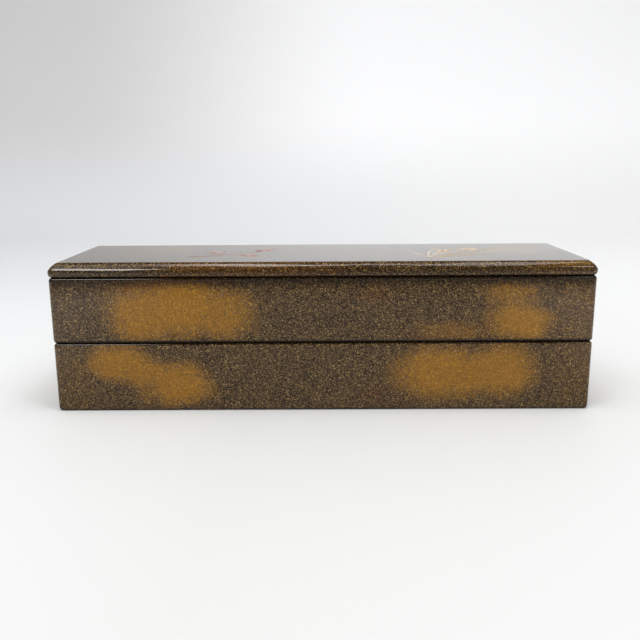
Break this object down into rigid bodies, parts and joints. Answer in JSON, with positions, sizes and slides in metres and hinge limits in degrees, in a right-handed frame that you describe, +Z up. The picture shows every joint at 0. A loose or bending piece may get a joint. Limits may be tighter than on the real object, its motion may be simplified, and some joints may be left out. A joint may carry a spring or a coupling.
{
  "type": "lacquered writing box with an inkstone",
  "caption": "Long stacking lacquered writing box: two lipped tiers and a bevelled lid, with a fitted tray of inkstone, water dropper and ink stick, and a tray of capped brushes.",
  "frame": {"origin": "middle of the footprint, on the table", "axes": "+X along the box to the right, -Y towards the front that the picture shows, +Z up"},
  "size_m": [0.2568, 0.0748, 0.0718],
  "materials": {
    "nashiji_lacquer": "gloss lacquer over sprinkled metal flakes, darker and golden in clouds",
    "black_lacquer": "gloss black lacquer",
    "slate": "honed slate",
    "copper": "satin, lightly tarnished",
    "pressed_ink": "pressed soot and glue, satin",
    "bamboo": "polished bamboo",
    "brush_hair": "soft hair"
  },
  "bodies": {
    "lower_tier": {"lower_wall_front": "nashiji_lacquer", "lower_wall_right": "nashiji_lacquer", "lower_wall_back": "nashiji_lacquer", "lower_wall_left": "nashiji_lacquer", "lower_floor": "black_lacquer", "lower_lining_front": "black_lacquer", "lower_lining_right": "black_lacquer", "lower_lining_back": "black_lacquer", "lower_lining_left": "black_lacquer", "ledge_left": "black_lacquer", "ledge_right": "black_lacquer"},
    "upper_tier": {"upper_wall_front": "nashiji_lacquer", "upper_wall_right": "nashiji_lacquer", "upper_wall_back": "nashiji_lacquer", "upper_wall_left": "nashiji_lacquer", "upper_floor": "black_lacquer", "upper_lining_front": "black_lacquer", "upper_lining_right": "black_lacquer", "upper_lining_back": "black_lacquer", "upper_lining_left": "black_lacquer"},
    "lid": {"lid_board": "nashiji_lacquer", "lid_rim_front": "nashiji_lacquer", "lid_rim_right": "nashiji_lacquer", "lid_rim_back": "nashiji_lacquer", "lid_rim_left": "nashiji_lacquer"},
    "fitted_tray": {"fitted_base": "black_lacquer", "fitted_frame": "black_lacquer"},
    "inkstone": {"inkstone": "slate"},
    "water_dropper": {"dropper_body": "copper", "dropper_top": "copper", "dropper_spout": "copper"},
    "ink_stick": {"ink_stick": "pressed_ink"},
    "brush_tray": {"brush_tray_floor": "black_lacquer", "brush_tray_front": "black_lacquer", "brush_tray_back": "black_lacquer", "brush_tray_left": "black_lacquer", "brush_tray_right": "black_lacquer", "brush_rest_left": "black_lacquer", "brush_rest_right": "black_lacquer"},
    "front_brush": {"front_brush_handle": "bamboo", "front_brush_tuft": "brush_hair"},
    "front_brush_cap": {"front_brush_cap": "bamboo"},
    "back_brush": {"back_brush_handle": "bamboo", "back_brush_tuft": "brush_hair"},
    "back_brush_cap": {"back_brush_cap": "bamboo"}
  },
  "joints": [
    {"name": "upper_tier_lift", "type": "slide", "parent": "lower_tier", "child": "upper_tier", "axis": [0, 0, 1], "range_m": [0, 0.13]},
    {"name": "lid_lift", "type": "slide", "parent": "upper_tier", "child": "lid", "axis": [0, 0, 1], "range_m": [0, 0.13]},
    {"name": "fitted_tray_lift", "type": "slide", "parent": "upper_tier", "child": "fitted_tray", "axis": [0, 0, 1], "range_m": [0, 0.0455]},
    {"name": "inkstone_lift", "type": "slide", "parent": "fitted_tray", "child": "inkstone", "axis": [0, 0, 1], "range_m": [0, 0.026]},
    {"name": "water_dropper_lift", "type": "slide", "parent": "fitted_tray", "child": "water_dropper", "axis": [0, 0, 1], "range_m": [0, 0.0416]},
    {"name": "ink_stick_lift", "type": "slide", "parent": "fitted_tray", "child": "ink_stick", "axis": [0, 0, 1], "range_m": [0, 0.0338]},
    {"name": "brush_tray_lift", "type": "slide", "parent": "lower_tier", "child": "brush_tray", "axis": [0, 0, 1], "range_m": [0, 0.052]},
    {"name": "front_brush_lift", "type": "slide", "parent": "brush_tray", "child": "front_brush", "axis": [0, 0, 1], "range_m": [0, 0.0286]},
    {"name": "back_brush_lift", "type": "slide", "parent": "brush_tray", "child": "back_brush", "axis": [0, 0, 1], "range_m": [0, 0.039]},
    {"name": "front_brush_cap_slide", "type": "slide", "parent": "front_brush", "child": "front_brush_cap", "axis": [1, 0, 0], "range_m": [0, 0.0416]},
    {"name": "back_brush_cap_slide", "type": "slide", "parent": "back_brush", "child": "back_brush_cap", "axis": [1, 0, 0], "range_m": [0, 0.0416]}
  ],
  "couplings": [
    {"joint": "fitted_tray_lift", "follows": "lid_lift", "ratio": 0.35},
    {"joint": "inkstone_lift", "follows": "lid_lift", "ratio": 0.2},
    {"joint": "water_dropper_lift", "follows": "lid_lift", "ratio": 0.32},
    {"joint": "ink_stick_lift", "follows": "lid_lift", "ratio": 0.26},
    {"joint": "brush_tray_lift", "follows": "upper_tier_lift", "ratio": 0.4},
    {"joint": "front_brush_lift", "follows": "upper_tier_lift", "ratio": 0.22},
    {"joint": "back_brush_lift", "follows": "upper_tier_lift", "ratio": 0.3},
    {"joint": "front_brush_cap_slide", "follows": "upper_tier_lift", "ratio": 0.32},
    {"joint": "back_brush_cap_slide", "follows": "upper_tier_lift", "ratio": 0.32}
  ]
}
